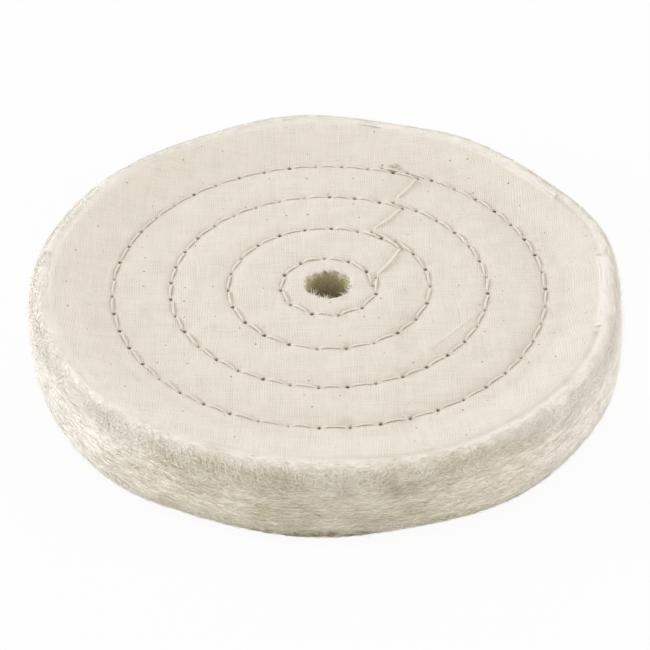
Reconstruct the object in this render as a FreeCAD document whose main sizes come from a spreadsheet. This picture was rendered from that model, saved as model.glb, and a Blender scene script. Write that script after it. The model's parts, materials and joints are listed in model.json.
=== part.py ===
"""Sewn cotton polishing wheel: a stack of cotton plies held by four lockstitched rings.

The wheel lies flat, with its arbor axis on +Z and the origin at the bore's centre, midway
through the stack. Lengths are in millimetres and angles in degrees.
"""
import FreeCAD, Part
import math
import os
import Sketcher

Vector = FreeCAD.Vector

# Alias, value and meaning of each driving dimension.
DIMENSIONS = [
    ("outer_diameter", 150.0, "over the loose rim"),
    ("bore_diameter", 12.7, "half-inch arbor hole"),
    ("ply_count", 50, "even, so that the stack has a mid-plane"),
    ("ply_thickness", 0.22, "one cotton sheet, pressed by the sewing"),
    ("sewn_thickness", 12.7, "face to face inside the outermost seam"),
    ("rim_thickness", 20.4, "face to face at the loose rim"),
    ("rim_rounding", 4.0, "how much smaller the face plies are in radius"),
    ("flare_start", 57.0, "radius where the plies begin to fan out"),
    ("channel_depth", 0.5, "how far a seam sinks into each face"),
    ("channel_floor", 2.8, "width of a seam channel at its floor"),
    ("channel_mouth", 4.4, "width of a seam channel at the face"),
    ("thread_diameter", 0.42, "both sewing threads"),
    ("leg_spacing", 0.96, "between the two legs of thread in a hole"),
    ("lock_height", 0.25, "from the mid-plane to the centre of each thread's turn"),
    ("needle_hole", 1.46, "diameter of a needle hole"),
    ("stitch_bend", 0.4, "bend radius where a stitch enters its hole"),
    ("thread_gap", 0.01, "between a stitch and the cloth under it"),
    ("tail_height", 3.0, "where the cut ends stop inside the first and last holes"),
    ("seam_drift", 1.1, "how far a seam creeps inwards in one turn"),
    ("ring_1_radius", 12.0, "innermost seam"),
    ("ring_2_radius", 25.3, ""),
    ("ring_3_radius", 39.7, ""),
    ("ring_4_radius", 54.2, "outermost seam"),
    ("ring_1_stitches", 11, "whole stitches in one turn"),
    ("ring_2_stitches", 22, ""),
    ("ring_3_stitches", 36, ""),
    ("ring_4_stitches", 47, ""),
    ("ring_1_start", 16.3, "angle of the seam's first hole"),
    ("ring_2_start", 64.0, ""),
    ("ring_3_start", 64.7, ""),
    ("ring_4_start", 74.6, ""),
    ("ring_1_overlap", 1, "stitches sewn past the start to lock the seam"),
    ("ring_2_overlap", 2, ""),
    ("ring_3_overlap", 1, ""),
    ("ring_4_overlap", 2, ""),
]
RINGS = (1, 2, 3, 4)
TOP, BOTTOM = 1, -1

# How a sketch constraint names a line's two ends, and the sketch's own origin point.
START, END = 1, 2
ORIGIN = (-1, 1)


def driving_sheet(doc):
    """The spreadsheet that holds every driving dimension under its alias."""
    sheet = doc.addObject("Spreadsheet::Sheet", "dims")
    for row, (alias, value, meaning) in enumerate(DIMENSIONS, start=1):
        sheet.set(f"A{row}", alias)
        sheet.set(f"B{row}", str(value))
        sheet.set(f"C{row}", meaning)
        sheet.setAlias(f"B{row}", alias)
    doc.recompute()
    return sheet


def ply_stations(share):
    """A ply's section as (name, radius, height) expressions for its top side, bore to rim.

    share is the ply's height in the stack: 0 at the mid-plane and 1 at a face.
    """
    half_sheet = "dims.ply_thickness / 2"
    face = f"{share} * (dims.sewn_thickness - dims.ply_thickness) / 2 + {half_sheet}"
    floor = f"{face} - {share} * dims.channel_depth"
    rim = f"{share} * (dims.rim_thickness - dims.ply_thickness) / 2 + {half_sheet}"
    stations = [("bore", "dims.bore_diameter / 2", face)]
    for ring in RINGS:
        radius = f"dims.ring_{ring}_radius"
        stations += [
            (f"mouth_in_{ring}", f"{radius} - dims.channel_mouth / 2", face),
            (f"floor_in_{ring}", f"{radius} - dims.channel_floor / 2", floor),
            (f"floor_out_{ring}", f"{radius} + dims.channel_floor / 2", floor),
            (f"mouth_out_{ring}", f"{radius} + dims.channel_mouth / 2", face),
        ]
    edge = f"dims.outer_diameter / 2 - dims.rim_rounding * (1 - sqrt(1 - {share} ^ 4))"
    return stations + [("flare", "dims.flare_start", face), ("edge", edge, rim)]


def ply_sheet(doc, label, share):
    """One ply above the mid-plane, before sewing: its section revolved about the arbor axis."""
    body = doc.addObject("PartDesign::Body", label)
    section = body.newObject("Sketcher::SketchObject", label + "_section")
    plane = next(p for p in body.Origin.OriginFeatures if p.Role == "XZ_Plane")
    section.AttachmentSupport = [(plane, "")]
    section.MapMode = "FlatFace"

    # The outline starts as a ladder one unit deep. The named sizes then pull it into shape.
    stations = ply_stations(share)
    top = [Vector(i + 1, 1, 0) for i in range(len(stations))]
    under = [Vector(p.x, 0, 0) for p in reversed(top)]
    outline = top + under
    sides = len(outline)
    section.addGeometry(
        [Part.LineSegment(outline[i], outline[(i + 1) % sides]) for i in range(sides)], False
    )
    rules = [
        Sketcher.Constraint("Coincident", i, END, (i + 1) % sides, START) for i in range(sides)
    ]
    sizes = []
    for i, (name, radius, height) in enumerate(stations):
        beneath = sides - 1 - i
        rules.append(Sketcher.Constraint("Vertical", i, START, beneath, START))
        for kind, key, size, origin, now in (
            ("DistanceX", "radius", radius, ORIGIN, outline[i].x),
            ("DistanceY", "height", height, ORIGIN, outline[i].y),
            ("DistanceY", "depth", "dims.ply_thickness", (beneath, START), outline[i].y),
        ):
            sizes.append((len(rules), f"{name}_{key}", size))
            rules.append(Sketcher.Constraint(kind, *origin, i, START, now))
    section.addConstraint(rules)
    for index, name, size in sizes:
        section.renameConstraint(index, name)
        section.setExpression("Constraints." + name, size)

    turned = body.newObject("PartDesign::Revolution", label + "_turned")
    turned.Profile = section
    turned.ReferenceAxis = (section, ["V_Axis"])
    turned.Angle = 360
    body.Tip = turned
    return body


def seam_holes(sheet):
    """Each seam's needle holes in sewing order, as (centre, radial unit, travel unit).

    A seam is sewn clockwise from the outermost ring inwards. The turn holds half a stitch
    more than a whole number, so that the overlap's holes fall between the first ones.
    """
    seams = []
    for ring in reversed(RINGS):
        radius = getattr(sheet, f"ring_{ring}_radius")
        stitches = int(getattr(sheet, f"ring_{ring}_stitches"))
        start = math.radians(getattr(sheet, f"ring_{ring}_start"))
        overlap = int(getattr(sheet, f"ring_{ring}_overlap"))
        step = 2 * math.pi / (stitches + 0.5)
        seam = []
        for j in range(stitches + 1 + overlap):
            angle = start - j * step
            radial = Vector(math.cos(angle), math.sin(angle), 0)
            travel = Vector(math.sin(angle), -math.cos(angle), 0)
            creep = sheet.seam_drift * (0.5 - j / stitches)
            seam.append((radial * (radius + creep), radial, travel))
        seams.append(seam)
    return seams


def needle_holes(doc, seams):
    """A tool that punches every needle hole through the whole stack."""
    pattern = doc.addObject("Sketcher::SketchObject", "needle_pattern")
    up = Vector(0, 0, 1)
    centres = [centre for seam in seams for centre, _, _ in seam]
    radius = float(doc.dims.needle_hole) / 2
    pattern.addGeometry([Part.Circle(c, up, radius) for c in centres], False)
    rules = [Sketcher.Constraint("Radius", 0, radius)]
    rules += [Sketcher.Constraint("Equal", 0, i) for i in range(1, len(centres))]
    pattern.addConstraint(rules)
    pattern.renameConstraint(0, "hole_radius")
    pattern.setExpression("Constraints.hole_radius", "dims.needle_hole / 2")
    punch = doc.addObject("Part::Extrusion", "needle_punch")
    punch.Base = pattern
    punch.DirMode = "Custom"
    punch.Dir = up
    punch.setExpression("LengthFwd", "dims.rim_thickness")
    punch.Symmetric = True
    punch.Solid = True
    return punch


def bend(corner_end, along, radius, height, side, arriving):
    """A quarter-circle between a vertical leg and a level stitch, and where it meets the stitch."""
    turn = radius * (1 - math.cos(math.pi / 4))
    sign = -1 if arriving else 1
    level = corner_end + along * (sign * radius)
    level.z = side * height
    middle = corner_end + along * (sign * turn)
    middle.z = side * (height - turn)
    leg = Vector(corner_end.x, corner_end.y, side * (height - radius))
    ends = (level, middle, leg) if arriving else (leg, middle, level)
    return Part.Arc(*ends).toShape(), level, leg


def thread_path(sheet, seams, side, leg_direction):
    """The centre line of one sewing thread as a smooth wire.

    In every hole the thread goes in along one leg, turns round the other thread midway
    through the stack and comes back out along a second leg. side says which face its
    stitches lie on. leg_direction picks, from a hole's radial and travel units, the way
    from the leaving leg to the arriving one.
    """
    radius = sheet.thread_diameter / 2
    face = sheet.sewn_thickness / 2
    seam_height = face - sheet.channel_depth + radius + sheet.thread_gap
    jump_height = face + radius + sheet.thread_gap
    reach = sheet.leg_spacing / 2
    lock = side * sheet.lock_height
    stops = [(hole, index) for index, seam in enumerate(seams) for hole in seam]

    edges = []
    leaving = None
    for n, ((centre, radial, travel), ring_index) in enumerate(stops):
        offset = leg_direction(radial, travel) * reach
        arrive, leave = centre + offset, centre - offset
        if leaving is None:
            top = Vector(arrive.x, arrive.y, side * sheet.tail_height)
        else:
            same_ring = ring_index == stops[n - 1][1]
            height = seam_height if same_ring else jump_height
            along = (arrive - leaving).normalize()
            up, start, leg_up = bend(leaving, along, sheet.stitch_bend, height, side, False)
            down, end, top = bend(arrive, along, sheet.stitch_bend, height, side, True)
            lower = Vector(leaving.x, leaving.y, lock)
            edges += [Part.makeLine(lower, leg_up), up, Part.makeLine(start, end), down]
        bottom_in = Vector(arrive.x, arrive.y, lock)
        bottom_out = Vector(leave.x, leave.y, lock)
        turn = Vector(centre.x, centre.y, lock - side * reach)
        edges += [Part.makeLine(top, bottom_in), Part.Arc(bottom_in, turn, bottom_out).toShape()]
        leaving = leave
    tail = Vector(leaving.x, leaving.y, side * sheet.tail_height)
    edges.append(Part.makeLine(Vector(leaving.x, leaving.y, lock), tail))
    return Part.Wire(edges)


def sewing_thread(doc, sheet, seams, label, side, leg_direction):
    """One sewing thread, swept along its path through every seam."""
    path = doc.addObject("Part::Feature", label + "_path")
    path.Shape = thread_path(sheet, seams, side, leg_direction)
    section = doc.addObject("Part::Circle", label + "_section")
    section.setExpression("Radius", "dims.thread_diameter / 2")
    section.Placement.Base = path.Shape.Edges[0].firstVertex().Point
    thread = doc.addObject("Part::Sweep", label)
    thread.Sections = [section]
    thread.Spine = (path, [])
    thread.Solid = True
    thread.Frenet = False
    return thread


def ply_label(position, count):
    """The name of the ply at a position counted from the top, starting at 1."""
    if position == 1:
        return "top_face_ply"
    if position == count:
        return "bottom_face_ply"
    return f"inner_ply_{position:02d}"


def sewn_plies(doc, sheet, punch):
    """Every ply of the stack, punched by the needle. The lower half mirrors the upper one."""
    count = int(sheet.ply_count)
    upper = []
    for position in range(1, count // 2 + 1):
        share = (count + 1 - 2 * position) / (count - 1)
        label = ply_label(position, count)
        ply = doc.addObject("Part::Cut", label)
        ply.Base = ply_sheet(doc, label + "_sheet", share)
        ply.Tool = punch
        upper.append(ply)
    lower = []
    for position, twin in enumerate(reversed(upper), start=count // 2 + 1):
        ply = doc.addObject("Part::Mirroring", ply_label(position, count))
        ply.Source = twin
        ply.Normal = Vector(0, 0, 1)
        lower.append(ply)
    return upper + lower


def check(doc, parts):
    """Stops the script if any feature failed or any part isn't a valid solid."""
    doc.recompute()
    for item in doc.Objects:
        if "Invalid" in item.State or "Error" in item.State:
            raise RuntimeError(f"{item.Label} failed: {item.State}")
    for part in parts:
        shape = part.Shape
        if shape.isNull() or not shape.isValid() or len(shape.Solids) != 1:
            raise RuntimeError(f"{part.Label} isn't one valid solid")


def main():
    doc = FreeCAD.newDocument("polishing_wheel")
    sheet = driving_sheet(doc)
    seams = seam_holes(sheet)
    parts = sewn_plies(doc, sheet, needle_holes(doc, seams))
    parts += [
        sewing_thread(doc, sheet, seams, "needle_thread", TOP, lambda radial, travel: -travel),
        sewing_thread(doc, sheet, seams, "bobbin_thread", BOTTOM, lambda radial, travel: radial),
    ]
    check(doc, parts)
    os.makedirs("parts", exist_ok=True)
    for part in parts:
        part.Shape.Solids[0].exportStep(f"parts/{part.Label}.step")
        print(part.Label, round(part.Shape.Volume, 1), "mm3")


main()
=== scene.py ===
"""The looks of a sewn cotton polishing wheel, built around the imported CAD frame.

Shapes are worked out in millimetres and angles in radians, and become metres where a mesh is
made. A ply's share is its height in the stack: 1 at the top face, 0 midway, -1 at the back.
"""
import json
import math

import bpy
import numpy as np
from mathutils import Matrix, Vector
from mathutils.geometry import delaunay_2d_cdt


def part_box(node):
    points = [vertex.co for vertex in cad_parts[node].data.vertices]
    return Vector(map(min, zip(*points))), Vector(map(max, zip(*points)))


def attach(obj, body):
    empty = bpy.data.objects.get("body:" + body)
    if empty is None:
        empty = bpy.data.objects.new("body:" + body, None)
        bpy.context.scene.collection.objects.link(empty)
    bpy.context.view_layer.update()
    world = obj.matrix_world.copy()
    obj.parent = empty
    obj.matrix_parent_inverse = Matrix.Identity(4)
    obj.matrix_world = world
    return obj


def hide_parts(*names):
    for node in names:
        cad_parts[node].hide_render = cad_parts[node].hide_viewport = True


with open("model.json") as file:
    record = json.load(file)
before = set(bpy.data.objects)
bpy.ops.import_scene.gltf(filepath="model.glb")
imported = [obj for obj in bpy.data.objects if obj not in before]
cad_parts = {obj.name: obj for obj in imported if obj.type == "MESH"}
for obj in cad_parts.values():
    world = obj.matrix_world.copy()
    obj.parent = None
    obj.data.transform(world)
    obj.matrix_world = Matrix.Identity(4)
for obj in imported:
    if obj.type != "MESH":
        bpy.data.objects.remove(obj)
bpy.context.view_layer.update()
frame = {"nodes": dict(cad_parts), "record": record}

MM = 0.001
TURN = 2 * math.pi

# --- Sizes ---

MOUNTS = {mount["name"]: mount for mount in frame["record"]["mounts"]}
BORE = MOUNTS["arbor_bore"]["dims"]["r_mm"]
SEWN_HALF = MOUNTS["arbor_bore"]["dims"]["length_mm"] / 2
PLIES = [name for name in frame["nodes"] if name.endswith("_ply") or "_ply_" in name]
PLY_COUNT = len(PLIES)
PLY_TOPS = {name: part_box(name)[1] / MM for name in PLIES}
RIM_HALF = PLY_TOPS["top_face_ply"].z
FACE_RADIUS = PLY_TOPS["top_face_ply"].x
WHEEL_RADIUS = max(top.x for top in PLY_TOPS.values())

# A ply is thin where the sewing presses it and swells into fluff at its cut edge.
PRESSED, FLUFFED = 0.16, 0.42
FLARE_START, FLARE_END = 56.0, 70.5
# The sewn middle of a ply ends here, and its loose rim begins.
LOOSE = 60.0

# Each seam: radius, stitches in a turn, angle of its first hole in degrees, and how many
# stitches it overlaps its own start by. It is sewn clockwise and creeps inwards.
SEAMS = ((54.2, 47, 74.6, 2), (39.7, 36, 64.7, 1), (25.3, 22, 64.0, 2), (12.0, 11, 16.3, 1))
SEAM_CREEP = 1.1
CHANNEL_FLOOR, CHANNEL_MOUTH = 1.4, 2.2
# Below the face the channels are deeper, which leaves room for the needle pits.
HIDDEN_CHANNEL_DEPTH = 1.3
HOLE_SMALLEST, HOLE_LARGEST = 0.16, 0.42
THREAD = 0.66
LEG = 0.25


# --- Random but repeatable fields ---

def noise(x, y, seed, wrap=256):
    """A smooth random field from -1 to 1 that varies over about one unit of x or y.

    It repeats every wrap units of x.
    """
    table = np.random.default_rng(seed).uniform(-1, 1, (256, 256))
    column, row = np.floor(x).astype(int), np.floor(y).astype(int)
    across, up = x - column, y - row
    across, up = across * across * (3 - 2 * across), up * up * (3 - 2 * up)
    left, right, low, high = column % wrap, (column + 1) % wrap, row % 256, (row + 1) % 256
    bottom = table[left, low] * (1 - across) + table[right, low] * across
    top = table[left, high] * (1 - across) + table[right, high] * across
    return bottom * (1 - up) + top * up


def ease(value, start, end):
    """0 before start, 1 after end, and a smooth step between."""
    share = np.clip((value - start) / (end - start), 0, 1)
    return share * share * (3 - 2 * share)


def add_object(name, data):
    """A new object in the scene."""
    made = bpy.data.objects.new(name, data)
    bpy.context.scene.collection.objects.link(made)
    return made


def around(radius, angle, *height):
    """x and y, and z where a height is given, for each radius and angle."""
    parts = np.broadcast_arrays(radius * np.cos(angle), radius * np.sin(angle), *height)
    return np.stack(parts, -1)


def polar(points):
    """The radius and angle of each x, y."""
    return np.linalg.norm(points, axis=1), np.arctan2(points[:, 1], points[:, 0])


# --- The stack's shape ---

def seam_holes():
    """Each seam's needle holes in sewing order, as an array of x, y."""
    seams = []
    for radius, stitches, start, overlap in SEAMS:
        index = np.arange(stitches + 1 + overlap)
        angle = math.radians(start) - index * TURN / (stitches + 0.5)
        reach = radius + SEAM_CREEP * (0.5 - index / stitches)
        seams.append(around(reach, angle))
    return seams


HOLES = seam_holes()
ALL_HOLES = np.concatenate(HOLES)


def rim_rise(angle):
    """How much the loose rim stands above its nominal height at each angle."""
    return 0.45 * noise(angle / TURN * 9, 0, 11, wrap=9)


def rim_drift(angle, share):
    """The common wave of all the plies at the loose rim."""
    slow = noise(angle / TURN * 11, share * 1.2 + 5, 12, wrap=11)
    fast = noise(angle / TURN * 34, share * 2.2 + 9, 13, wrap=34)
    return 0.55 * slow + 0.22 * fast


# Where the edge has worn flat or bulges: angle and half width in degrees, and how far it
# stands out at the upper and at the lower face.
EDGE_LUMPS = (
    (-8, 16, -1.4, -1.0), (42, 20, -1.7, -1.2), (73, 11, -1.2, -0.6), (98, 11, 1.3, 0.0),
    (126, 12, -2.0, -1.0), (147, 16, -1.2, -0.8), (192, 18, -0.9, -0.8), (231, 15, 0.0, 1.9),
    (306, 28, 0.0, 1.6),
)


def outline(angle, share):
    """How far the wheel's edge stands out from a true circle."""
    out = 0.7 * noise(angle / TURN * 7, share * 0.6 + 3, 21, wrap=7)
    out += 0.42 * noise(angle / TURN * 19, share * 1.1 + 7, 22, wrap=19)
    for centre, width, upper, lower in EDGE_LUMPS:
        away = (np.degrees(angle) - centre + 180) % 360 - 180
        out += (lower + (upper - lower) * (1 + share) / 2) * np.exp(-(away / width) ** 2)
    return out


def channel(radius):
    """How deep the seam channels under the face are at each radius."""
    deepest = np.zeros_like(radius)
    for seam_radius, *_ in SEAMS:
        off = np.abs(radius - seam_radius)
        depth = HIDDEN_CHANNEL_DEPTH * (1 - ease(off, CHANNEL_FLOOR, CHANNEL_MOUTH))
        deepest = np.maximum(deepest, depth)
    return deepest


def stack_half(radius, angle):
    """The height of the topmost ply's middle surface above the mid-plane, without detail."""
    sewn = SEWN_HALF - PRESSED / 2
    loose = RIM_HALF - FLUFFED / 2 + rim_rise(angle)
    return sewn + (loose - sewn) * ease(radius, FLARE_START, FLARE_END)


def ply_height(radius, angle, share):
    """The middle surface of an inner ply."""
    height = stack_half(radius, angle) - channel(radius)
    drift = rim_drift(angle, share) * ease(radius, LOOSE, FLARE_END)
    return share * height + drift


def from_segment(points, start, end):
    """Each point's distance from a line between two others, and where along it from 0 to 1."""
    span = end - start
    share = np.clip((points - start) @ span / (span @ span), 0, 1)
    return np.linalg.norm(points - start - share[:, None] * span, axis=1), share


def nearest_stitch(points):
    """Distance to the nearest stitch, and how far along it that is from 0 to 1."""
    best = np.full(len(points), np.inf)
    along = np.zeros(len(points))
    for holes in HOLES:
        for start, end in zip(holes[:-1], holes[1:]):
            reach = np.abs(end - start).max() / 2 + 5
            close = np.flatnonzero(np.abs(points - (start + end) / 2).max(1) < reach)
            distance, share = from_segment(points[close], start, end)
            nearer = distance < best[close]
            best[close[nearer]] = distance[nearer]
            along[close[nearer]] = share[nearer]
    return best, along


# A fold pressed into the face, from one end to the other, as x and y.
CREASE = np.array([(36.5, -12.1), (24.5, -26.7)])


def face_detail(points):
    """What sewing does to a face ply: valleys, puckers, pits and gentle unevenness."""
    distance, along = nearest_stitch(points)
    tight = 0.75 + 0.25 * np.abs(2 * along - 1) ** 2
    valley = -0.40 * tight * np.exp(-(distance / 1.25) ** 2) - 0.16 * np.exp(-(distance / 0.5) ** 2)
    pucker = -0.10 * np.cos(TURN * along) * np.exp(-((distance - 1.2) / 1.8) ** 2)
    pit = np.zeros(len(points))
    for hole in ALL_HOLES:
        close = np.flatnonzero(np.abs(points - hole).max(1) < 2.5)
        away = np.linalg.norm(points[close] - hole, axis=1)
        pit[close] = np.minimum(pit[close], -0.28 * np.exp(-(away / 0.5) ** 2))
    uneven = 0.17 + 0.13 * noise(points[:, 0] / 9, points[:, 1] / 9, 31)
    uneven += 0.05 * noise(points[:, 0] / 2.6, points[:, 1] / 2.6, 32)
    crease = 0.22 * np.exp(-(from_segment(points, *CREASE)[0] / 0.8) ** 2)
    puff = uneven + crease + wrinkle(points)
    return valley + pucker + pit + puff * (1 - np.exp(-(distance / 2.5) ** 2))


# --- Wrinkles of the face, from a cloth simulation ---

CLOTH_STEP, CLOTH_FRAMES, CLOTH_SLACK, WRINKLE_CAP = 1.5, 24, 0.006, 0.45
CLOTH_SIDE = int(2 * 72 / CLOTH_STEP) + 1


def simulate_face():
    """Lets a slack sheet that is held down along its seams find its own wrinkles.

    Returns the height of each point of a square grid in millimetres.
    """
    axis = (np.arange(CLOTH_SIDE) - (CLOTH_SIDE - 1) / 2) * CLOTH_STEP
    x, y = (grid.ravel() for grid in np.meshgrid(axis, axis))
    start = 0.04 * (1 + noise(x / 5, y / 5, 33))
    index = np.arange(CLOTH_SIDE * CLOTH_SIDE).reshape(CLOTH_SIDE, CLOTH_SIDE)
    quads = np.stack([index[:-1, :-1], index[:-1, 1:], index[1:, 1:], index[1:, :-1]], -1)
    mesh = bpy.data.meshes.new("slack_sheet")
    mesh.from_pydata(np.stack([x, y, start], 1) * MM, [], quads.reshape(-1, 4).tolist())
    sheet = add_object("slack_sheet", mesh)
    radius = np.hypot(x, y)
    held = (radius > FACE_RADIUS - 2) | (radius < BORE + 1)
    for seam_radius, *_ in SEAMS:
        held |= np.abs(radius - seam_radius) < 1.1
    pins = sheet.vertex_groups.new(name="held")
    pins.add(np.flatnonzero(held).tolist(), 1.0, "REPLACE")
    cloth = sheet.modifiers.new("cloth", "CLOTH")
    cloth.settings.vertex_group_mass = "held"
    cloth.settings.quality = 6
    cloth.settings.mass = 0.05
    cloth.settings.bending_stiffness = 0.02
    cloth.settings.shrink_min = -CLOTH_SLACK
    cloth.settings.effector_weights.gravity = 0
    cloth.collision_settings.use_collision = False
    cloth.point_cache.frame_end = CLOTH_FRAMES
    for frame_number in range(1, CLOTH_FRAMES + 1):
        bpy.context.scene.frame_set(frame_number)
    with bpy.context.temp_override(object=sheet, active_object=sheet, selected_objects=[sheet]):
        bpy.ops.object.modifier_apply(modifier="cloth")
    settled = np.zeros(3 * len(x))
    sheet.data.vertices.foreach_get("co", settled)
    bpy.data.objects.remove(sheet)
    bpy.data.meshes.remove(mesh)
    bpy.context.scene.frame_set(1)
    height = settled[2::3] / MM
    return np.clip(height, 0, WRINKLE_CAP).reshape(CLOTH_SIDE, CLOTH_SIDE)


WRINKLES = simulate_face()


def wrinkle(points):
    """The simulated height of the face at each x, y."""
    place = np.clip(points / CLOTH_STEP + (CLOTH_SIDE - 1) / 2, 0, CLOTH_SIDE - 1.001)
    cell = place.astype(int)
    x, y = (place - cell).T
    column, row = cell.T
    near = WRINKLES[row, column] * (1 - x) + WRINKLES[row, column + 1] * x
    far = WRINKLES[row + 1, column] * (1 - x) + WRINKLES[row + 1, column + 1] * x
    return near * (1 - y) + far * y


# --- Mesh helpers ---

class MeshMaker:
    """Collects points in millimetres and faces.

    Each point has three values from 0 to 1: fluff for loose fibre, tone for how light it is
    and soil for painted shade in the needle holes and where the thread runs under
    the cloth.
    """

    def __init__(self):
        self.points, self.fluff, self.tone, self.soil, self.faceted = [], [], [], [], []
        self.triangles, self.quads = [], []
        self.count = 0

    def add(self, points, fluff=0.0, tone=0.5, soil=0.0, faceted=False):
        """Adds points and returns the number of the first. Their faces can be left unsmoothed."""
        first = self.count
        self.points.append(points)
        for kept, value in ((self.fluff, fluff), (self.tone, tone), (self.soil, soil),
                            (self.faceted, faceted)):
            kept.append(np.broadcast_to(value, len(points)))
        self.count += len(points)
        return first

    def strip(self, inner, outer, outward):
        """Adds quads between two loops of the same length."""
        quads = np.stack([inner, outer, np.roll(outer, -1), np.roll(inner, -1)], 1)
        self.quads.append(quads if outward else quads[:, ::-1])

    def make(self, name, material):
        """The finished mesh object."""
        mesh = bpy.data.meshes.new(name)
        points = np.concatenate(self.points) * MM
        faces = [(np.concatenate(group), size) for group, size in
                 ((self.triangles, 3), (self.quads, 4)) if group]
        corners = np.concatenate([group.ravel() for group, _ in faces])
        sizes = np.concatenate([np.full(len(group), size) for group, size in faces])
        mesh.vertices.add(len(points))
        mesh.vertices.foreach_set("co", points.ravel())
        mesh.loops.add(len(corners))
        mesh.loops.foreach_set("vertex_index", corners.astype(np.int32))
        mesh.polygons.add(len(sizes))
        starts = np.concatenate([[0], np.cumsum(sizes)[:-1]])
        mesh.polygons.foreach_set("loop_start", starts.astype(np.int32))
        mesh.polygons.foreach_set("use_smooth", ~np.concatenate(self.faceted)[corners[starts]])
        mesh.update(calc_edges=True)
        mesh.validate()
        for key, values in (("fluff", self.fluff), ("tone", self.tone), ("soil", self.soil)):
            attribute = mesh.attributes.new(key, "FLOAT", "POINT")
            attribute.data.foreach_set("value", np.concatenate(values).astype(np.float32))
        mesh.materials.append(material)
        return add_object(name, mesh)


def ring(radius, count, turned=0.0):
    """Points evenly round a circle, as x, y."""
    return around(radius, np.arange(count) / count * TURN + turned)


def perforated_disc(inside, hole_loops, bore_count, rim_count):
    """Triangulates the sewn middle of a ply.

    Returns its points, its triangles and its loops, each a range of point numbers: the rim,
    the bore and then the holes.
    """
    loops = [ring(LOOSE, rim_count), ring(BORE, bore_count)] + hole_loops
    groups, edges, first = [], [], 0
    for loop in loops:
        group = np.arange(first, first + len(loop))
        edges += zip(group.tolist(), np.roll(group, -1).tolist())
        groups.append(group)
        first += len(loop)
    points = np.concatenate(loops + [inside])
    made = delaunay_2d_cdt([Vector(p) for p in points], edges, [], 0, 1e-6)
    owner = np.array([sources[0] for sources in made[3]])
    triangles = owner[np.array(made[2])]
    member = np.full(len(points), -1)
    for number, group in enumerate(groups[1:]):
        member[group] = number
    of_loop = member[triangles]
    filling = (of_loop[:, 0] >= 0) & (np.ptp(of_loop, axis=1) == 0)
    return points, triangles[~filling], groups


def keep_clear(points, gap):
    """Drops the points that lie too close to a needle hole."""
    keep = np.ones(len(points), bool)
    for hole in ALL_HOLES:
        keep &= np.linalg.norm(points - hole, axis=1) > gap
    return points[keep]


def coarse_points():
    """Points that carry the channels of an inner ply."""
    rings = []
    for number, (radius, *_) in enumerate(SEAMS):
        count = 40 + int(radius)
        for step, off in enumerate((-CHANNEL_MOUTH, -CHANNEL_FLOOR, CHANNEL_FLOOR, CHANNEL_MOUTH)):
            rings.append(ring(radius + off, count, (number + step / 2) * 0.01))
    return keep_clear(np.concatenate(rings), HOLE_LARGEST + 0.2)


def fine_points():
    """Points of a face ply's visible side: dense along the seams, sparser between them."""
    rings, radius, row = [], BORE + 0.35, 0
    while radius < LOOSE - 0.5:
        seam_distance = min(abs(radius - seam[0]) for seam in SEAMS)
        spacing = 0.34 if seam_distance < 1.9 else 0.5 if seam_distance < 3 else 0.85
        if radius < BORE + 2:
            spacing = 0.4
        count = int(TURN * radius / spacing)
        rings.append(ring(radius, count, row * 0.5 / count * TURN))
        radius += spacing * 0.87
        row += 1
    return keep_clear(np.concatenate(rings), HOLE_LARGEST + 0.12)


# --- Fibres ---

def rim_section():
    """The rim's section from face to face: arc length from the mid-plane, radius and height."""
    share = np.sin(np.linspace(-1, 1, 241) * math.pi / 2)
    radius = WHEEL_RADIUS - (WHEEL_RADIUS - FACE_RADIUS) * (1 - np.sqrt(1 - share ** 4))
    height = share * RIM_HALF
    land = np.linspace(FACE_RADIUS - 12, FACE_RADIUS - 0.2, 40)
    top = stack_half(land, 0) + FLUFFED / 2
    radius = np.concatenate([land, radius[::-1], land[::-1]])
    height = np.concatenate([top, height[::-1], -top[::-1]])
    arc = np.concatenate([[0], np.cumsum(np.hypot(np.diff(radius), np.diff(height)))])
    arc = np.interp(0, -height, arc) - arc
    return arc[::-1], radius[::-1], height[::-1]


RIM_ARC, RIM_RADIUS, RIM_HEIGHT = rim_section()
# Where the face ends and the shoulder begins, how far down the shoulder a face ply's matted
# edge reaches, and how far that stands off the plies under it.
SHOULDER_ARC = RIM_ARC[-40]
SHOULDER, SKIN = 3.9, 0.18
SLOPE_STEP = 0.3


def rim_point(angle, arc, lift):
    """A point on the rim's surface, raised outwards from it by lift, as x, y, z."""
    places = (arc, arc - SLOPE_STEP, arc + SLOPE_STEP)
    radius, before_r, after_r = (np.interp(place, RIM_ARC, RIM_RADIUS) for place in places)
    height, before_z, after_z = (np.interp(place, RIM_ARC, RIM_HEIGHT) for place in places)
    slope_r, slope_z = after_r - before_r, after_z - before_z
    size = np.hypot(slope_r, slope_z) + 1e-9
    share = height / RIM_HALF
    out = outline(angle, share) * ease(radius, LOOSE, FACE_RADIUS)
    reach = radius + out + lift * slope_z / size
    rise = np.sign(height) * rim_rise(angle) * np.minimum(np.abs(share), 1)
    drift = rim_drift(angle, share) * ease(radius, LOOSE, FLARE_END)
    z = height + rise + drift - lift * slope_r / size
    return around(reach, angle, z)


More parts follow.
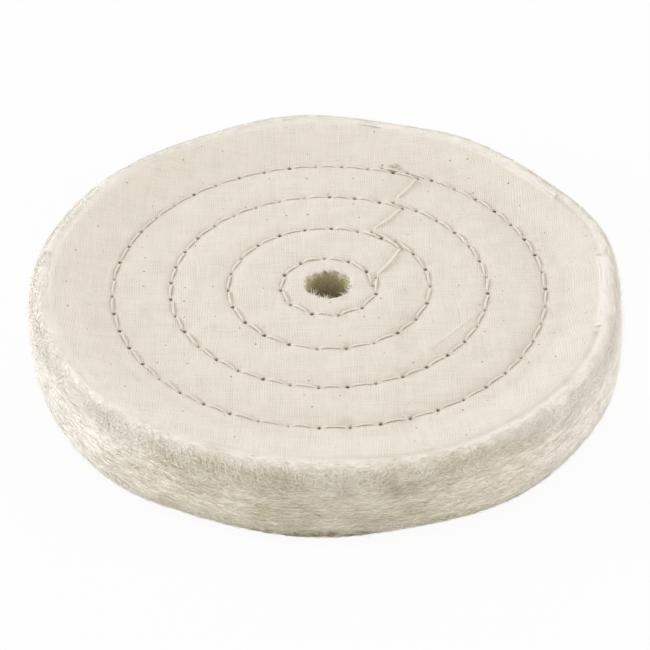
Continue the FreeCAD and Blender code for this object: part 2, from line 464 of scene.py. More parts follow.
def tubes(maker, path, width, up, tone, fluff=1.0):
    """Adds one closed, tapering, three-sided tube for each row of path.

    path and up are (tube, station, 3) and width is (tube, station).
    """
    tangent = np.gradient(path, axis=1)
    tangent /= np.linalg.norm(tangent, axis=2, keepdims=True) + 1e-12
    across = np.cross(tangent, up)
    across /= np.linalg.norm(across, axis=2, keepdims=True) + 1e-12
    above = np.cross(across, tangent)
    half = width[..., None] / 2
    corners = np.stack([path - across * half - above * half * 0.2,
                        path + across * half - above * half * 0.2,
                        path + above * half * 0.4], 2)
    number, stations = path.shape[:2]
    body = corners[:, :-1].reshape(number, -1, 3)
    points = np.concatenate([body, path[:, -1:]], 1)
    size = points.shape[1]
    first = maker.add(points.reshape(-1, 3), fluff, np.repeat(tone, size), faceted=True)
    base = first + np.arange(number)[:, None, None] * size
    station = np.arange(stations - 2)[None, :, None] * 3
    side = np.arange(3)[None, None, :]
    after = (side + 1) % 3
    quads = np.stack([base + station + side, base + station + 3 + side,
                      base + station + 3 + after, base + station + after], -1)
    maker.quads.append(quads.reshape(-1, 4))
    end = base[:, 0] + (stations - 2) * 3
    tip = base[:, 0] + size - 1
    side, after = side[0], after[0]
    maker.triangles.append(np.stack([end + after, end + side, tip + 0 * side], -1).reshape(-1, 3))
    maker.triangles.append(base[:, 0] + np.arange(3))


FIBRE_STATIONS = 5
ALONG = np.linspace(0, 1, FIBRE_STATIONS)[None, :]


def rim_fibres(maker, rng, angle, arc, heading, length, width, lift, base, curl, tones):
    """Loose cotton fibres that lie on the rim.

    heading is measured from the way round the wheel towards the upper face. A fibre starts
    and ends near base, a height above the rim's surface, and arches up by lift. tones says
    how light each one is.
    """
    number = len(angle)
    bend = rng.normal(0, curl, (number, 1))
    wave = rng.normal(0, curl * 0.6, (number, 1))
    turned = heading[:, None] + bend * ALONG + wave * np.sin(math.pi * 2 * ALONG)
    step = length[:, None] / (FIBRE_STATIONS - 1)
    steps_on, steps_up = np.cos(turned) * step, np.sin(turned) * step
    angles = angle[:, None] + (np.cumsum(steps_on, 1) - steps_on) / WHEEL_RADIUS
    arcs = arc[:, None] + (np.cumsum(steps_up, 1) - steps_up)
    height = base + lift[:, None] * np.sin(ALONG * 2.4) - 0.12 * (ALONG == 0)
    path = rim_point(angles, arcs, height)
    up = rim_point(angles, arcs, height + 0.5) - path
    widths = width[:, None] * (1 - 0.85 * ALONG ** 2)
    tubes(maker, path, widths, up, tones)


def comb(angle, arc):
    """The way the nap is brushed at each place on the rim."""
    slow = noise(angle / TURN * 23, arc / 7 + 40, 51, wrap=23)
    fine = noise(angle / TURN * 71, arc / 3 + 80, 52, wrap=71)
    return 0.06 + 0.30 * slow + 0.22 * fine


# How many of the rim's fibres stand off it as a thin haze.
STRAY_SHARE = 0.16


def add_nap(maker, rng, share, count, spread):
    """The brushed-out edge of one ply: most of its fibres lie along the rim."""
    angle = rng.uniform(0, TURN, count)
    home = np.interp(share * RIM_HALF, RIM_HEIGHT[40:-40], RIM_ARC[40:-40])
    arc = home + rng.uniform(-spread, spread, count)
    way = np.where(rng.uniform(0, 1, count) < 0.75, 0.0, math.pi)
    heading = way + comb(angle, arc) + rng.normal(0, 0.30, count)
    length = rng.gamma(5, 0.48, count)
    width = rng.uniform(0.08, 0.19, count)
    stray = rng.uniform(0, 1, count) < STRAY_SHARE
    lift = np.abs(rng.normal(0.10, 0.12, count)) + stray * rng.uniform(0.1, 0.7, count)
    width = np.where(stray, 0.07, width)
    tones = rng.uniform(0, 0.8, count)
    rim_fibres(maker, rng, angle, arc, heading, length, width, lift, 0.03, 0.4, tones)


def add_fringe(maker, rng, share, count):
    """Yarn ends and fuzz that run from a face ply's edge out over the rim's shoulder."""
    side = np.sign(share)
    angle = rng.uniform(0, TURN, count)
    arc = side * (SHOULDER_ARC + rng.uniform(-SHOULDER - 0.8, 1.0, count))
    # A yarn end keeps the direction of the weave, so it leaves the edge at a slant.
    square = (angle + math.pi / 4) % (math.pi / 2) - math.pi / 4
    slant = np.where(rng.uniform(0, 1, count) < 0.6, -square * side, rng.normal(0, 0.9, count))
    length = rng.gamma(4, 0.55, count)
    width = rng.uniform(0.07, 0.20, count)
    lift = np.abs(rng.normal(0.05, 0.08, count))
    heading = slant - side * math.pi / 2
    down = SHOULDER_ARC - side * arc
    base = SKIN * ease(down, -0.3, 1.0)[:, None] + 0.04
    tones = rng.uniform(0.6, 0.95, count) - 0.35 * ease(down, 1.0, 5.0)
    rim_fibres(maker, rng, angle, arc, heading, length, width, lift, base, 0.5, tones)


def add_matting(maker, rng, share, count):
    """Tangled fibres that hide where a face ply's matted edge gives way to the plies below."""
    side = np.sign(share)
    angle = rng.uniform(0, TURN, count)
    down = np.maximum(rng.normal(SHOULDER + 0.5, 1.7, count), 1.0)
    arc = side * (SHOULDER_ARC - down)
    heading = comb(angle, arc) + rng.normal(0, 0.5, count) + rng.choice([0, math.pi], count)
    length = rng.gamma(5, 0.42, count)
    width = rng.uniform(0.08, 0.20, count)
    lift = np.abs(rng.normal(0.10, 0.10, count))
    base = SKIN * (1 - ease(down, SHOULDER - 0.8, SHOULDER + 0.8))[:, None] + 0.09
    # Fibres high on the shoulder are made 0.2 lighter: painted light that brightens the band above
    # the wall.
    tones = rng.uniform(0.0, 0.85, count) + 0.2 * (1 - ease(down, 2.0, 5.0))
    rim_fibres(maker, rng, angle, arc, heading, length, width, lift, base, 0.45, tones)


UP = np.array([0.0, 0.0, 1.0])


def add_bore_lint(maker, rng, share, count, tufts, reach):
    """Broken fibres that stand into the bore from a ply's inner edge, half of them in tufts."""
    tuft = rng.uniform(0, TURN, tufts)[rng.integers(0, tufts, count)] + rng.normal(0, 0.05, count)
    in_tuft = rng.uniform(0, 1, count) < 0.5
    angle = np.where(in_tuft, tuft, rng.uniform(0, TURN, count))
    height = share * (SEWN_HALF - PRESSED / 2)
    length = rng.gamma(3, reach / 3, (count, 1)) * np.where(in_tuft, 1.3, 0.8)[:, None]
    length = np.minimum(length, 2.4)
    lean = rng.normal(0, 0.5, (count, 1)) + rng.normal(0, 0.7, (count, 1)) * ALONG
    droop = rng.normal(-0.1, 0.35, (count, 1)) * ALONG ** 2 * length
    radius = BORE + 0.12 - length * ALONG * np.cos(lean)
    turned = angle[:, None] + length * ALONG * np.sin(lean) / BORE
    path = around(radius, turned, height + droop)
    widths = rng.uniform(0.09, 0.21, (count, 1)) * (1 - 0.8 * ALONG)
    tubes(maker, path, widths, UP, rng.uniform(0.3, 1, count), fluff=0.9)


def add_loose_lint(maker, rng, share, count):
    """Short bits of yarn that lie on a face, and one long yarn pulled up along the crease."""
    radius = FACE_RADIUS * np.sqrt(rng.uniform(0.04, 0.85, (count, 1)))
    place = rng.uniform(0, TURN, (count, 1))
    heading = rng.uniform(0, TURN, (count, 1)) + rng.normal(0, 1.2, (count, 1)) * ALONG
    length = rng.gamma(4, 0.6, (count, 1))
    spots = around(radius, place) + around(length * ALONG, heading)
    width = rng.uniform(0.08, 0.2, (count, 1)) * (1 - 0.7 * ALONG ** 2)
    lay_on_face(maker, spots, width, share)
    if share > 0:
        line = CREASE[0] + (CREASE[1] - CREASE[0]) * np.linspace(0, 1, 24)[:, None]
        taper = 0.34 * np.sin(math.pi * np.linspace(0.06, 0.98, 24)) ** 0.5
        lay_on_face(maker, line[None], taper[None], share)


def lay_on_face(maker, spots, width, share):
    """Adds yarns that lie on a face ply, one for each row of x, y spots."""
    z = share * (face_top(spots.reshape(-1, 2)) + 0.03).reshape(*width.shape, 1)
    path = np.concatenate([spots, z], -1)
    tubes(maker, path, width, UP * share, np.full(len(spots), 0.9))


# --- Threads ---

STRANDS, STRAND_SIDES, TWIST = 3, 4, 1.7
FINE_STEP, BEND_STEP, HIDDEN_STEP = 0.24, 0.3, 1.3
LONGEST_STITCH = 9.5
# Where the two threads hook round each other: how far the legs are from the hole's middle,
# and how far above the mid-plane the bend begins.
LOCK, LOCK_HEIGHT = 0.46, 0.25


def face_top(points):
    """The height of the upper face's surface at each x, y."""
    radius, angle = polar(points)
    return stack_half(radius, angle) + face_detail(points) + PRESSED / 2


def smooth_path(points, steps):
    """Points evenly spread along a curve through the given ones, step by step."""
    gaps = np.linalg.norm(np.diff(points, axis=0), axis=1)
    length = np.concatenate([[0], np.cumsum(gaps)])
    wanted = [0.0]
    for start, gap, step in zip(length[:-1], gaps, steps):
        count = max(1, int(round(gap / step)))
        wanted += list(start + gap * np.arange(1, count + 1) / count)
    wanted = np.array(wanted)
    return np.stack([np.interp(wanted, length, points[:, axis]) for axis in range(3)], 1)


def relax(points, rounds):
    """Rounds off a path's corners."""
    for _ in range(rounds):
        points[1:-1] = 0.5 * points[1:-1] + 0.25 * (points[:-2] + points[2:])
    return points


def thread_course(side):
    """The centre line of one sewing thread, with the step to sample each stretch at."""
    course, steps = [], []
    rng = np.random.default_rng(73)

    def go(place, height, step):
        course.append((*place, side * height))
        steps.append(step)

    previous = None
    for hole in ALL_HOLES:
        radial = hole / np.linalg.norm(hole)
        lock = np.array([radial[1], -radial[0]]) if side > 0 else radial
        if previous is None:
            go(hole - lock * LOCK, 3.0, HIDDEN_STEP)
        else:
            last_hole, last_lock = previous
            go(last_hole + last_lock * LOCK, LOCK_HEIGHT, BEND_STEP)
            go(last_hole + last_lock * LOCK, 3.8, HIDDEN_STEP)
            span = hole - last_hole
            length = np.linalg.norm(span)
            along = span / length
            across = np.array([-along[1], along[0]])
            jump = length > LONGEST_STITCH
            go(last_hole + along * LEG, 5.2, HIDDEN_STEP)
            share = np.linspace(0.07, 0.93, 15 if jump else 9)
            share = np.concatenate([[0, 0.03], share, [0.97, 1]])
            arch = np.sin(math.pi * share)
            bow, slant = (0.7, 0.0) if jump else (rng.normal(0.03, 0.09), rng.normal(0.17, 0.05))
            sideways = bow * arch + slant * np.cos(math.pi * share)
            line = last_hole + along * (LEG + (length - 2 * LEG) * share[:, None])
            line = line + across * sideways[:, None]
            grip = np.where(share < 0.5, *(rng.uniform(0.3, 0.7, 2) + 0.2 * jump))
            sunk = 0.75 * ease(np.abs(2 * share - 1), grip, 1.0)
            surface = face_top(line) + THREAD * (0.50 + 0.3 * jump * arch) - sunk
            for place, height in zip(line, surface):
                go(place, height, FINE_STEP)
            go(hole - along * LEG, 5.2, FINE_STEP)
        go(hole - lock * LOCK, 3.8, HIDDEN_STEP)
        go(hole - lock * LOCK, LOCK_HEIGHT, HIDDEN_STEP)
        for off, height in ((-0.3, -0.08), (0, -0.21), (0.3, -0.08)):
            go(hole + lock * off, height, BEND_STEP)
        previous = (hole, lock)
    go(hole + lock * LOCK, LOCK_HEIGHT, BEND_STEP)
    go(hole + lock * LOCK, 3.0, HIDDEN_STEP)
    return np.array(course), steps[1:]


def place_piece(piece, name, slot):
    """Puts a piece in the place of its CAD solid, on the wheel's only body."""
    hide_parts(name)
    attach(piece, "root")


def make_thread(name, side, material):
    """A sewing thread laid from twisted strands."""
    course, steps = thread_course(side)
    path = relax(smooth_path(course, steps), 2)
    tangent = np.gradient(path, axis=0)
    tangent /= np.linalg.norm(tangent, axis=1, keepdims=True)
    normal = np.zeros_like(tangent)
    normal[0] = np.cross(tangent[0], (1, 0, 0))
    for i in range(1, len(path)):
        carried = normal[i - 1] - tangent[i] * (normal[i - 1] @ tangent[i])
        normal[i] = carried / np.linalg.norm(carried)
    other = np.cross(tangent, normal)
    length = np.concatenate([[0], np.cumsum(np.linalg.norm(np.diff(path, axis=0), axis=1))])
    uneven = 1 + 0.12 * noise(length / 3, 0, 71)
    # Painted shade darkens the thread where it runs just under the face, into the needle holes.
    buried = face_top(path[:, :2]) - side * path[:, 2]
    soil = 0.75 * ease(buried, 0.2, 0.6) * (1 - ease(buried, 1.0, 1.6))
    maker = MeshMaker()
    for strand in range(STRANDS):
        phase = length / TWIST * TURN + strand / STRANDS * TURN
        offset = normal * np.cos(phase)[:, None] + other * np.sin(phase)[:, None]
        centre = path + offset * (THREAD * 0.23 * uneven)[:, None]
        tone = 0.5 + 0.3 * noise(length / 1.5, strand * 5, 72)
        corners = []
        for corner in range(STRAND_SIDES):
            turn = corner / STRAND_SIDES * TURN
            outward = normal * math.cos(turn) + other * math.sin(turn)
            corners.append(centre + outward * (THREAD * 0.27 * uneven)[:, None])
        points = np.stack(corners, 1)
        first = maker.add(points.reshape(-1, 3), 1.0, np.repeat(tone, STRAND_SIDES),
                          np.repeat(soil, STRAND_SIDES))
        rows = first + np.arange(len(path) * STRAND_SIDES).reshape(len(path), STRAND_SIDES)
        turned = np.roll(rows, -1, 1)
        quads = np.stack([rows[:-1], turned[:-1], turned[1:], rows[1:]], -1)
        maker.quads.append(quads.reshape(-1, 4))
        for row, is_start in ((rows[0], True), (rows[-1], False)):
            fan = np.array([(row[0], row[i], row[i + 1]) for i in range(1, STRAND_SIDES - 1)])
            maker.triangles.append(fan[:, ::-1] if is_start else fan)
    place_piece(maker.make(name + "_twisted", material), name, name)


# --- Plies ---

RIM_COUNT = 480
FACE_RIM_COUNT = 960
BORE_COUNT = 96
HOLE_CORNERS = 8

# How much painted shade each needle hole gets; the holes with more are also larger.
HOLE_SHADING = np.random.default_rng(62).uniform(0.1, 1.0, len(ALL_HOLES))
HOLE_SIZES = HOLE_SMALLEST + (HOLE_LARGEST - HOLE_SMALLEST) * HOLE_SHADING
HOLE_LOOPS = [hole + ring(size, HOLE_CORNERS) for hole, size in zip(ALL_HOLES, HOLE_SIZES)]
INNER_DISC = perforated_disc(coarse_points(), HOLE_LOOPS, BORE_COUNT, RIM_COUNT)
FACE_UNDER = perforated_disc(coarse_points(), HOLE_LOOPS, BORE_COUNT, FACE_RIM_COUNT)
FACE_OVER = perforated_disc(fine_points(), HOLE_LOOPS, BORE_COUNT, FACE_RIM_COUNT)


def edge_radius(name, angle, share, seed):
    """Where a ply's cut edge is at each angle."""
    turn = angle / TURN
    ragged = 0.15 * noise(turn * 240, 0, seed, wrap=240)
    cut = 0.08 * noise(turn * 61, 0, seed + 1, wrap=61)
    return PLY_TOPS[name].x + outline(angle, share) + ragged + cut


# Shares of the way from a ply's sewn middle to its edge that have a loop of points each. A
# face ply's shoulder begins after the last of its own.
FACE_REACHES = (0.3, 0.55, 0.75, 0.88)
INNER_REACHES = (0.3, 0.55, 0.75, 0.88, 0.96, 0.995)


def build_ply(name, share, seed):
    """A whole ply: its sewn middle and its loose rim, closed all round."""
    maker = MeshMaker()
    facing = 1 if share > 0 else -1
    is_face = abs(share) == 1
    discs = (FACE_OVER, FACE_UNDER) if is_face else (INNER_DISC, INNER_DISC)
    rim_count = FACE_RIM_COUNT if is_face else RIM_COUNT
    rim_angle = np.arange(rim_count) / rim_count * TURN
    edge = edge_radius(name, rim_angle, share, seed)
    sides = []
    for (points, triangles, loops), side in zip(discs, (1, -1)):
        up = side * facing
        radius, angle = polar(points)
        if is_face and side == 1:
            middle = face_height(points, radius, angle, share)
        else:
            middle = ply_height(radius, angle, share)
        z = middle + up * PRESSED / 2
        # Painted shade at the edges of the needle holes.
        soil = np.zeros(len(points))
        soil[np.concatenate(loops[2:])] = np.repeat(HOLE_SHADING, HOLE_CORNERS)
        first = maker.add(np.column_stack([points, z]), soil=soil)
        maker.triangles.append((triangles if up == 1 else triangles[:, ::-1]) + first)
        last = first + loops[0]
        for reach in FACE_REACHES if is_face else INNER_REACHES:
            radius = LOOSE + (edge - LOOSE) * reach
            thickness = PRESSED + (FLUFFED - PRESSED) * ease(radius, FLARE_START, edge - 1)
            off = thickness / 2 * (1 - 0.2 * (reach > 0.99))
            z = ply_height(radius, rim_angle, share) + up * off
            loop = around(radius, rim_angle, z)
            current = maker.add(loop, fluff=ease(reach, 0.8, 0.95)) + np.arange(rim_count)
            maker.strip(last, current, up == 1)
            last = current
        if is_face:
            last = add_shoulder(maker, last, rim_angle, facing, side, seed)
        sides.append(([loop + first for loop in loops[1:]], last))
    (over, last_over), (under, last_under) = sides
    if is_face:
        maker.strip(last_over, last_under, facing == 1)
    else:
        tip_radius = edge + 0.08
        tip = around(tip_radius, rim_angle, ply_height(tip_radius, rim_angle, share))
        tip = maker.add(tip, fluff=1.0) + np.arange(rim_count)
        maker.strip(last_over, tip, facing == 1)
        maker.strip(tip, last_under, facing == 1)
    frayed = add_bore_edge(maker, share, seed)
    maker.strip(over[0], frayed, facing != 1)
    maker.strip(frayed, under[0], facing != 1)
    for hole_over, hole_under in zip(over[1:], under[1:]):
        maker.strip(hole_over, hole_under, facing != 1)
    return maker


def add_shoulder(maker, last, rim_angle, facing, side, seed):
    """Carries one side of a face ply on as a matted, ragged skin over the rim's shoulder."""
    count = len(rim_angle)
    turn = rim_angle / TURN
    ragged = 0.5 * noise(turn * 40, 0, seed + 7, wrap=40)
    ragged += 0.3 * noise(turn * 240, 0, seed + 8, wrap=240)
    for step in (-0.25, 0.0, 0.2, 0.4, 0.6, 0.8, 1.0):
        down = step * (SHOULDER + ragged * (step > 0.5))
        thick = SKIN * (1 - 1.3 * max(step, 0) ** 3)
        lumps = 0.04 * noise(turn * 170, step * 3, seed + 9, wrap=170)
        lift = thick + lumps * ease(step, 0, 0.4) if side == 1 else thick - 0.22
        loop = rim_point(rim_angle, facing * (SHOULDER_ARC - down), lift)
        tone = 0.85 - 0.15 * ease(step, 0.5, 1.0)
        current = maker.add(loop, fluff=ease(step, -0.5, 0.15), tone=tone) + np.arange(count)
        maker.strip(last, current, side * facing == 1)
        last = current
    return last


def add_bore_edge(maker, share, seed):
    """The frayed inner edge of a ply. A face ply's threads have slipped into the bore."""
    angle = np.arange(BORE_COUNT) / BORE_COUNT * TURN
    turn = angle / TURN
    fray = noise(turn * 16, 0, seed + 5, wrap=16) + noise(turn * 48, 0, seed + 6, wrap=48)
    stray = np.random.default_rng(seed + 4).uniform(-1, 1, BORE_COUNT)
    if abs(share) == 1:
        reach = 0.60 + 0.40 * fray + 0.28 * stray
    else:
        reach = 0.14 + 0.12 * fray + 0.16 * stray
    loop = around(BORE - reach, angle, share * (SEWN_HALF - PRESSED / 2))
    return maker.add(loop, fluff=0.8) + np.arange(BORE_COUNT)


def face_height(points, radius, angle, share):
    """The middle surface of a face ply, with all that the sewing does to it."""
    drift = rim_drift(angle, share) * ease(radius, LOOSE, FLARE_END)
    detail = face_detail(points) * (1 - ease(radius, LOOSE - 3, LOOSE))
    return share * (stack_half(radius, angle) + detail) + drift


def make_plies(face_material, inner_material):
    for position, name in enumerate(sorted(PLIES, key=lambda n: -PLY_TOPS[n].z)):
        share = 1 - 2 * position / (PLY_COUNT - 1)
        seed = 100 + 20 * position
        maker = build_ply(name, share, seed)
        rng = np.random.default_rng(seed)
        if abs(share) == 1:
            material, slot = face_material, "face_cotton"
            add_nap(maker, rng, share, 900, 1.2)
            add_fringe(maker, rng, share, 6500)
            add_matting(maker, rng, share, 8500)
            add_bore_lint(maker, rng, share, 340, 10, 1.9)
            add_loose_lint(maker, rng, share, 16)
        else:
            material, slot = inner_material, "inner_cotton"
            add_nap(maker, rng, share, 940, 0.35 + 1.2 * abs(share) ** 8)
            add_bore_lint(maker, rng, share, 48, 5, 0.9)
        place_piece(maker.make(name + "_cloth", material), name, slot)


# --- Materials ---

CLOTH = (0.77, 0.705, 0.61)
CLOTH_GAP = (0.58, 0.51, 0.405)
THICK_YARN = (0.83, 0.77, 0.675)
THREAD_DARK = (0.76, 0.705, 0.60)
THREAD_LIGHT = (0.85, 0.80, 0.70)
FLUFF_DARK = (0.635, 0.585, 0.515)
FLUFF_LIGHT = (0.85, 0.80, 0.73)
# Painted shade for the front side of the rim: darker, yellower fibre colours.
FRONT_SHADE_DARK = (0.44, 0.38, 0.20)
FRONT_SHADE_LIGHT = (0.86, 0.81, 0.73)
SEED = (0.27, 0.20, 0.12)
HUSK = (0.42, 0.35, 0.24)
# Painted shade in the bore: the brown, speckled colours that darken the cut cloth round it.
BORE_SHADE_DARK = (0.62, 0.53, 0.27)
BORE_SHADE_LIGHT = (0.96, 0.87, 0.57)
DIRT_AND_SHADE = (0.33, 0.27, 0.16)
# Painted shade in the needle holes and on the thread where it goes under the cloth.
HOLE_SHADE = (0.22, 0.17, 0.09)
SHEEN = 0.2
YARN_PITCH = 0.58
SLUB_LENGTH = 16.0
WEAVE_TURN = math.radians(1.5)
BUMP_HEIGHT = 0.12 * MM


class Value:
    """A node's output, which can be added, multiplied and compared like a number."""

    def __init__(self, look, socket):
        self.look = look
        self.socket = socket

    def __add__(self, other):
        return self.look.math("ADD", self, other)

    def __sub__(self, other):
        return self.look.math("SUBTRACT", self, other)

    def __rsub__(self, other):
        return self.look.math("SUBTRACT", other, self)

    def __mul__(self, other):
        return self.look.math("MULTIPLY", self, other)

    def __truediv__(self, other):
        return self.look.math("DIVIDE", self, other)

    def __gt__(self, other):
        return self.look.math("GREATER_THAN", self, other)

    def __lt__(self, other):
        return self.look.math("LESS_THAN", self, other)


class Look:
    """A material whose nodes are added one at a time. Its place is x, y and z in millimetres."""

    def __init__(self, name):
        self.material = bpy.data.materials.new(name)
        self.material.use_nodes = True
        self.tree = self.material.node_tree
        self.shader = self.tree.nodes["Principled BSDF"]
        spot = self.new("TexCoord")
        split = self.new("SeparateXYZ")
        self.tree.links.new(spot.outputs["Object"], split.inputs[0])
        self.place = tuple(Value(self, metres) * (1 / MM) for metres in split.outputs)

    def feed(self, socket, value):
        """Connects a node's output to a socket, or sets the socket to a plain value."""
        if isinstance(value, Value):
            self.tree.links.new(value.socket, socket)
        elif isinstance(value, tuple):
            socket.default_value = (*value, 1) if socket.type == "RGBA" else value
        else:
            socket.default_value = value

    def new(self, kind):
        return self.tree.nodes.new("ShaderNode" + kind)

    def fill(self, node, values, output=0):
        """Feeds a node's inputs, each by its name or number, and gives one of its outputs."""
        for key, value in values.items():
            self.feed(node.inputs[key], value)
        return Value(self, node.outputs[output])

    def math(self, operation, *values, clamp=False):
        node = self.new("Math")
        node.operation = operation
        node.use_clamp = clamp
        return self.fill(node, dict(enumerate(values)))

    def vector(self, *values):
        return self.fill(self.new("CombineXYZ"), dict(enumerate(values)))

    def distance(self, x, y):
        return self.math("SQRT", x * x + y * y)

    def ramp(self, value, start, end):
        """0 up to start and 1 from end, smooth between. start may be above end."""
        node = self.new("MapRange")
        node.interpolation_type = "SMOOTHSTEP"
        flip = start > end
        low, high = sorted((start, end))
        values = (value, low, high, float(flip), float(not flip))
        return self.fill(node, dict(enumerate(values)))

    def mix(self, share, first, second):
        node = self.new("Mix")
        node.data_type = "RGBA"
        return self.fill(node, {"Factor": share, 6: first, 7: second}, 2)

    def noise(self, place, scale=1.0, detail=2.0, rough=0.5):
        values = {"Vector": self.vector(*place), "Scale": scale, "Detail": detail,
                  "Roughness": rough}
        return self.fill(self.new("TexNoise"), values, "Fac")

    def attribute(self, name):
        node = self.new("Attribute")
        node.attribute_name = name
        return Value(self, node.outputs["Fac"])

    def surface(self, colour, roughness, sheen=0.0):
        """Gives the material its colour, roughness and sheen, and returns it."""
        self.fill(self.shader, {"Base Color": colour, "Roughness": roughness,
                                "Sheen Weight": sheen})
        return self.material


def fluff_colour(look):
    """Loose cotton fibre, light and dark, with duller patches, and painted shade on the front."""
    x, y, z = look.place
    slow = look.noise((x, y, z * 1.8), 0.11, 3.0)
    tone = look.attribute("tone") - look.ramp(slow, 0.38, 0.66) * 0.30
    light = look.ramp(tone, -0.7, 0.95)
    by_tone = look.mix(light, FLUFF_DARK, FLUFF_LIGHT)
    other_tone = look.mix(light, FRONT_SHADE_DARK, FRONT_SHADE_LIGHT)
    # Painted shade: towards the front the fibres take the darker, yellower colours.
    return look.mix(look.ramp(y, -46.0, -73.0), by_tone, other_tone)


def fleck(look, spot, size, chance, largest):
    """1 inside scattered specks of seed husk, 0 elsewhere. spot holds two or three lengths."""
    cells = look.new("TexVoronoi")
    cells.voronoi_dimensions = "2D" if len(spot) == 2 else "3D"
    distance = look.fill(cells, {"Vector": look.vector(*spot), "Scale": 1 / size}, "Distance")
    pick = look.new("SeparateColor")
    look.tree.links.new(cells.outputs["Color"], pick.inputs[0])
    chosen, scaled = (Value(look, output) for output in pick.outputs[:2])
    radius = (scaled + 0.3) * (largest / 1.3 / size)
    return (chosen < chance) * (distance < radius)


# Dull marks on the front of the rim: x, height, half width, half height and strength. The
# first, along the bottom edge, is partly painted shade near the floor and partly dirt.
RIM_MARKS = ((-3.0, -9.0, 18.0, 3.2, 1.0), (4.0, 4.4, 3.5, 2.6, 0.30), (18.0, 4.6, 7.0, 2.4, 0.34))


def soiled_rim(look, colour):
    """Painted shade mixed with dirt low on the rim all round, and the marks on its front."""
    x, y, z = look.place
    patches = look.ramp(look.noise(look.place, 0.05, 3.0), 0.42, 0.60)
    # Painted shade, mixed with dirt, darkens the rim low down near the floor.
    total = look.ramp(z, -6.5, -10.0) * patches * 0.3
    for mark_x, mark_z, half_x, half_z, strength in RIM_MARKS:
        off_x = (x - mark_x) / half_x
        off_z = (z - mark_z) / half_z
        mark = look.ramp(off_x * off_x + off_z * off_z, 1.0, 0.1) * strength
        total = total + mark * (y < 0.0)
    broken = look.ramp(look.noise((x, y, z * 2.0), 0.45, 4.0), 0.30, 0.62)
    return look.mix(total * broken, colour, DIRT_AND_SHADE)


# A small brown mark on the upper face: x, y and radius.
STAIN = (18.0, 52.2, 2.7)


def stain(look):
    """How strong the brown mark is at each place."""
    x, y, z = look.place
    away = look.distance(x - STAIN[0], y - STAIN[1])
    blotch = look.ramp(look.noise((x, y, 0.0), 1.1, 4.0), 0.28, 0.62)
    return look.ramp(away, STAIN[2], 0.4) * blotch * (z > 0.0)


def face_cotton_material():
    """Unbleached plain weave, turning to fluff where the fluff attribute says so."""
    look = Look("face_cotton")
    x, y, _ = look.place
    bend = look.noise((x, y, 3.0), 0.05) * 4.0
    warp = x * math.cos(WEAVE_TURN) + y * math.sin(WEAVE_TURN) + bend
    weft = y * math.cos(WEAVE_TURN) - x * math.sin(WEAVE_TURN) + bend
    across, upward = (look.math("SINE", yarn * (math.pi / YARN_PITCH)) for yarn in (warp, weft))
    product = across * upward
    pillow = look.math("POWER", look.math("ABSOLUTE", product), 0.5)
    warp_slub = look.noise((warp / YARN_PITCH, weft / SLUB_LENGTH, 0.0), 1.0, 1.0)
    weft_slub = look.noise((warp / SLUB_LENGTH, weft / YARN_PITCH, 7.0), 1.0, 1.0)
    warp_over = product > 0.0
    slub = warp_over * warp_slub + (1.0 - warp_over) * weft_slub
    both = (warp_slub + weft_slub) * 0.5
    fullness = look.math("MULTIPLY", pillow, both + 0.55, clamp=True)
    mottle = look.ramp(look.noise((x, y, 11.0), 0.22, 4.0, 0.6), 0.35, 0.65)
    gap = look.mix(mottle * 0.65 + 0.35, CLOTH, CLOTH_GAP)
    weave = look.mix(look.ramp(fullness, 0.15, 0.75), gap, CLOTH)
    weave = look.mix(look.ramp(slub, 0.35, 0.7) * 0.5, weave, THICK_YARN)
    weave = look.mix(fleck(look, (x, y), 6.0, 0.5, 0.30) * 0.8, weave, SEED)
    weave = look.mix(fleck(look, (y, x), 2.2, 0.45, 0.20) * 0.35, weave, HUSK)
    fluff = look.attribute("fluff")
    colour = look.mix(fluff, weave, fluff_colour(look))
    colour = look.mix(stain(look), colour, DIRT_AND_SHADE)
    # Painted shade at the needle holes.
    colour = look.mix(look.attribute("soil"), colour, HOLE_SHADE)
    strength = look.math("MULTIPLY", 1.0 - fluff, 0.8, clamp=True)
    bump = {"Distance": BUMP_HEIGHT, "Strength": strength, "Height": fullness}
    look.feed(look.shader.inputs["Normal"], look.fill(look.new("Bump"), bump))
    return look.surface(soiled_rim(look, colour), both * 0.2 + 0.78, SHEEN)


def inner_cotton_material():
    """The plies inside: brushed fluff at the rim, and painted brown shade in the bore."""
    look = Look("inner_cotton")
    x, y, z = look.place
    colour = look.mix(fleck(look, (x, y, z), 4.0, 0.12, 0.30), fluff_colour(look), SEED)
    speckle = look.ramp(look.noise(look.place, 2.4, 5.0, 0.7), 0.38, 0.64)
    # Painted shade darkens the cloth close to the bore's wall; the lightest lint is left unshaded.
    bore_shade = look.ramp(look.distance(x, y), BORE + 1.6, BORE - 0.3)
    by_tone = look.ramp(look.attribute("tone"), 0.90, 0.70)
    colour = look.mix(bore_shade * by_tone, colour, look.mix(speckle, BORE_SHADE_DARK, BORE_SHADE_LIGHT))
    # Painted shade at the needle holes.
    colour = look.mix(look.attribute("soil"), colour, HOLE_SHADE)
    return look.surface(soiled_rim(look, colour), 0.9, SHEEN)


def thread_material(name):
    """Twisted cotton thread, a little brighter than the cloth."""
    look = Look(name)
    other_tone = look.noise(look.place, 1.2, 3.0)
    colour = look.mix((other_tone + look.attribute("tone")) * 0.5, THREAD_DARK, THREAD_LIGHT)
    # Painted shade where the thread runs under the cloth.
    colour = look.mix(look.attribute("soil"), colour, HOLE_SHADE)
    return look.surface(colour, other_tone * 0.3 + 0.6)


# --- Stage ---

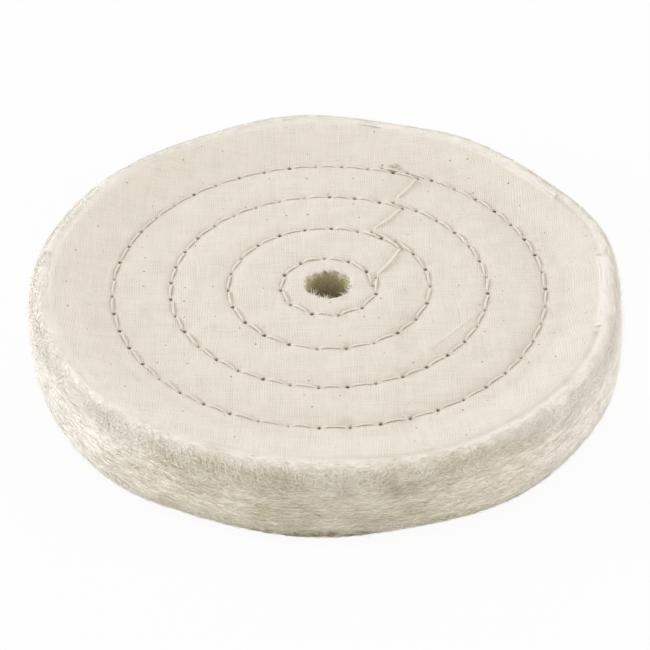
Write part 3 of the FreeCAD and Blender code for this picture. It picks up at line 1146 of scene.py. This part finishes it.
def seen_white(tree, shader, strength):
    """What the camera sees directly is lifted towards plain white; its light stays as it is."""
    path = tree.nodes.new("ShaderNodeLightPath")
    white = tree.nodes.new("ShaderNodeEmission")
    share = tree.nodes.new("ShaderNodeMath")
    share.operation = "MULTIPLY"
    share.inputs[1].default_value = strength
    blend = tree.nodes.new("ShaderNodeMixShader")
    tree.links.new(path.outputs["Is Camera Ray"], share.inputs[0])
    for node, socket in zip((share, shader, white), blend.inputs):
        tree.links.new(node.outputs[0], socket)
    output = next(n for n in tree.nodes if n.type.startswith("OUTPUT"))
    tree.links.new(blend.outputs[0], output.inputs["Surface"])


# The floor's half side and its depth below the frame's lower face, in metres.
FLOOR_HALF, FLOOR_DROP = 3.0, 0.0008
FLOOR_COLOUR = (0.76, 0.76, 0.75, 1)


def make_floor():
    bottom = -RIM_HALF * MM - FLOOR_DROP
    corners = [(x * FLOOR_HALF, y * FLOOR_HALF, bottom)
               for x, y in ((-1, -1), (1, -1), (1, 1), (-1, 1))]
    mesh = bpy.data.meshes.new("floor")
    mesh.from_pydata(corners, [], [(0, 1, 2, 3)])
    floor = add_object("floor", mesh)
    material = bpy.data.materials.new("floor_white")
    material.use_nodes = True
    shader = material.node_tree.nodes["Principled BSDF"]
    shader.inputs["Base Color"].default_value = FLOOR_COLOUR
    shader.inputs["Roughness"].default_value = 1.0
    seen_white(material.node_tree, shader, 0.93)
    mesh.materials.append(material)


def aim(thing, place, direction):
    """Puts a lamp or camera at a place and turns it to look in a direction."""
    thing.location = place
    thing.rotation_mode = "QUATERNION"
    thing.rotation_quaternion = direction.to_track_quat("-Z", "Y")


# Each lamp: name, place in metres, side in metres, power in watts and colour.
NEUTRAL, COOL, WARM = (1, 1, 1), (0.93, 0.96, 1.0), (1.0, 0.94, 0.82)
LAMPS = (
    ("overhead", (-0.20, 0.00, 1.00), 0.9, 0.9, NEUTRAL),
    ("back", (0.10, 1.1, 0.12), 0.8, 7.0, NEUTRAL),
    ("left", (-0.97, -0.12, 0.17), 0.7, 10.8, COOL),
    ("right", (0.96, -0.20, 0.12), 0.7, 7.7, NEUTRAL),
    ("front", (-0.25, -1.1, 0.25), 0.8, 1.6, WARM),
)
SKY = 0.66


def make_lights():
    world = bpy.data.worlds.new("studio")
    bpy.context.scene.world = world
    world.use_nodes = True
    sky = world.node_tree.nodes["Background"]
    sky.inputs["Color"].default_value = (1, 1, 1, 1)
    sky.inputs["Strength"].default_value = SKY
    seen_white(world.node_tree, sky, 1.0)
    for name, place, side, power, colour in LAMPS:
        light = bpy.data.lights.new(name, "AREA")
        light.shape = "SQUARE"
        light.size = side
        light.energy = power
        light.color = colour
        aim(add_object(name, light), Vector(place), -Vector(place))


# The camera's height above the wheel as an angle, its distance in metres, its focal length
# in millimetres, and how far the picture is shifted, as a share of its side.
ELEVATION, DISTANCE, LENS = math.radians(37.04), 0.525, 115.9
SHIFT = (-3 / 650, -40.7 / 650)


def make_camera():
    target = Vector((0, 0, SEWN_HALF * MM))
    back = Vector((0, -math.cos(ELEVATION), math.sin(ELEVATION)))
    data = bpy.data.cameras.new("camera")
    data.sensor_width = 36
    data.lens = LENS
    data.shift_x, data.shift_y = SHIFT
    camera = add_object("camera", data)
    aim(camera, target + back * DISTANCE, -back)
    bpy.context.scene.camera = camera
    bpy.context.scene.view_settings.view_transform = "Standard"


make_plies(face_cotton_material(), inner_cotton_material())
for thread, side_up in (("needle_thread", 1), ("bobbin_thread", -1)):
    make_thread(thread, side_up, thread_material(thread))
make_floor()
make_lights()
make_camera()
